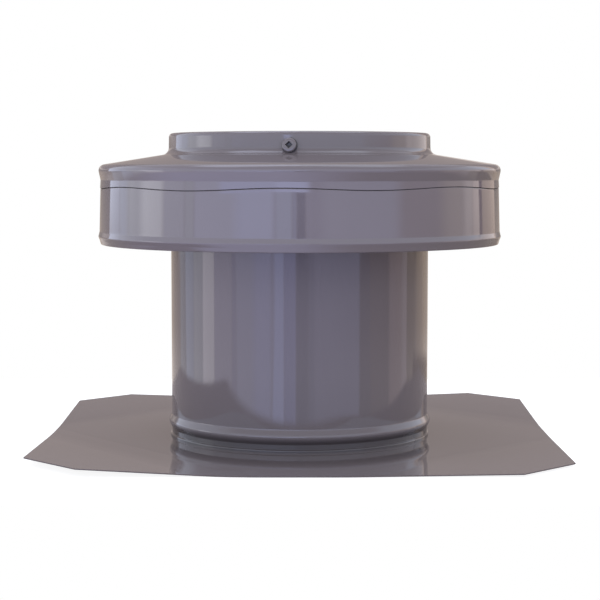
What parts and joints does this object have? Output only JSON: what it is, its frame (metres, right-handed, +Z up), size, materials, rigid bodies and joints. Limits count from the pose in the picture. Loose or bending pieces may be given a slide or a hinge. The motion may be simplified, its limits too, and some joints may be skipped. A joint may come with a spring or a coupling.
{
  "type": "static roof vent",
  "caption": "Round painted-metal static roof vent: square flange with clipped corners, short tube with a bead, and an overhanging cap with a skirt and a raised crown.",
  "frame": {"origin": "centre of the flange's underside, on the tube's axis, where the vent meets the roof", "axes": "+Z up along the tube's axis, +X along one edge of the flange, the visible crown screw faces -Y"},
  "size_m": [0.392, 0.392, 0.2383],
  "materials": {
    "painted_sheet": "gloss baked paint, taupe grey",
    "painted_fasteners": "gloss paint, taupe grey",
    "screen_mesh": "bright woven wire",
    "screen_rivets": "satin"
  },
  "bodies": {
    "root": {"base_flange": "painted_sheet", "collar_tube": "painted_sheet", "tube_seam_rivets": "painted_fasteners", "insect_screen": "screen_mesh", "screen_rivets": "screen_rivets", "cap_top": "painted_sheet", "cap_rim": "painted_sheet", "cap_skirt": "painted_sheet", "skirt_seam_rivets": "painted_fasteners", "crown_screws": "painted_fasteners"}
  },
  "joints": []
}
